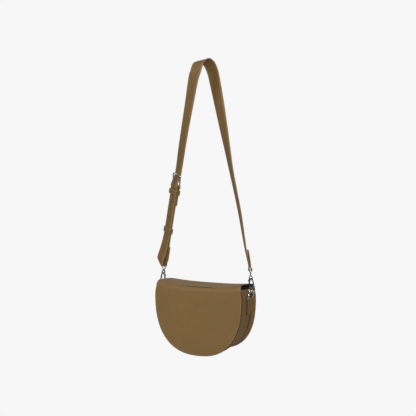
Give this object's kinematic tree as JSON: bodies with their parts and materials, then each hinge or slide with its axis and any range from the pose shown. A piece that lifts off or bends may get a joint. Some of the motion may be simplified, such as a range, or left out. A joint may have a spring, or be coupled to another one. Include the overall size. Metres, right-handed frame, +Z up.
{
  "type": "saddle handbag",
  "caption": "Half-moon saddle bag with a front flap, pleated gusset and a buckled shoulder strap on swivel hooks and D-rings.",
  "frame": {"origin": "the middle of the strap's crown, on its inner face, where it bears on a peg or a shoulder", "axes": "+Z up along the hanging bag, +X to the right seen from the flap, -Y out of the flap's front"},
  "size_m": [0.2492, 0.082, 0.6734],
  "materials": {
    "shell_leather": "smooth, semi-matt",
    "gusset_leather": "smooth, semi-matt",
    "lining": "suede-like lining",
    "board": "fibre board",
    "plated_metal": "polished nickel plate"
  },
  "bodies": {
    "strap": {"strap_long": "shell_leather", "strap_short": "shell_leather", "keeper_upper": "shell_leather", "swivel_eye_left": "plated_metal", "swivel_eye_right": "plated_metal"},
    "bag": {"back_panel": "shell_leather", "back_board": "board", "back_lining": "lining", "front_panel": "shell_leather", "front_board": "board", "front_lining": "lining", "gusset": "gusset_leather", "gusset_lining": "lining", "flap_margin": "shell_leather", "tab_left": "gusset_leather", "tab_right": "gusset_leather", "snap_socket": "plated_metal", "socket_washer": "plated_metal"},
    "flap_top": {"flap_top_leather": "shell_leather", "flap_top_lining": "lining"},
    "flap_front": {"flap_leather": "shell_leather", "flap_board": "board", "flap_lining": "lining", "snap_stud": "plated_metal", "stud_washer": "plated_metal"},
    "ring_left": {"dee_ring_left": "plated_metal"},
    "ring_right": {"dee_ring_right": "plated_metal"},
    "hook_left": {"hook_frame_left": "plated_metal", "gate_pin_left": "plated_metal", "gate_spring_left": "plated_metal"},
    "hook_right": {"hook_frame_right": "plated_metal", "gate_pin_right": "plated_metal", "gate_spring_right": "plated_metal"},
    "gate_left": {"hook_gate_left": "plated_metal"},
    "gate_right": {"hook_gate_right": "plated_metal"},
    "loose_keeper": {"keeper_lower": "shell_leather"},
    "buckle": {"buckle_frame": "plated_metal"},
    "prong": {"buckle_prong": "plated_metal"}
  },
  "joints": [
    {"name": "bag_swing", "type": "hinge", "parent": "strap", "child": "bag", "pos_m": [0.004, 0.00575, -0.5307], "axis": [1, 0, 0], "range_deg": [-40, 40]},
    {"name": "flap_rear_fold", "type": "hinge", "parent": "bag", "child": "flap_top", "pos_m": [0.004, 0.0411, -0.517], "axis": [-1, 0, 0], "range_deg": [0, 25]},
    {"name": "flap_front_fold", "type": "hinge", "parent": "flap_top", "child": "flap_front", "pos_m": [0.004, -0.03, -0.507], "axis": [-1, 0, 0], "range_deg": [0, 120]},
    {"name": "ring_tilt_left", "type": "hinge", "parent": "bag", "child": "ring_left", "pos_m": [-0.10556, 0.00575, -0.5365], "axis": [0, 1, 0], "range_deg": [-2, 2]},
    {"name": "ring_tilt_right", "type": "hinge", "parent": "bag", "child": "ring_right", "pos_m": [0.11356, 0.00575, -0.5365], "axis": [0, 1, 0], "range_deg": [-2, 2]},
    {"name": "hook_swivel_left", "type": "hinge", "parent": "strap", "child": "hook_left", "pos_m": [-0.11048, 0.00575, -0.51815], "axis": [0.0872, 0, 0.9962], "range_deg": [-8, 8]},
    {"name": "hook_swivel_right", "type": "hinge", "parent": "strap", "child": "hook_right", "pos_m": [0.11848, 0.00575, -0.51815], "axis": [-0.0872, 0, 0.9962], "range_deg": [-8, 8]},
    {"name": "gate_open_left", "type": "hinge", "parent": "hook_left", "child": "gate_left", "pos_m": [-0.10429, 0.00575, -0.4951], "axis": [0, 1, 0], "range_deg": [0, 25], "stiffness_Nm_per_rad": 0.01, "springref_deg": -17.19},
    {"name": "gate_open_right", "type": "hinge", "parent": "hook_right", "child": "gate_right", "pos_m": [0.11229, 0.00575, -0.4951], "axis": [0, -1, 0], "range_deg": [0, 25], "stiffness_Nm_per_rad": 0.01, "springref_deg": -17.19},
    {"name": "keeper_slide", "type": "slide", "parent": "strap", "child": "loose_keeper", "axis": [0.191, -0.032, 0.9811], "range_m": [-0.002, 0.03]},
    {"name": "buckle_tilt", "type": "hinge", "parent": "strap", "child": "buckle", "pos_m": [-0.07019, -0.0003, -0.28491], "axis": [0.798, -0.5769, -0.1742], "range_deg": [0, 3]},
    {"name": "prong_lift", "type": "hinge", "parent": "buckle", "child": "prong", "pos_m": [-0.07019, -0.0003, -0.28491], "axis": [0.798, -0.5769, -0.1742], "range_deg": [0, 3]}
  ]
}
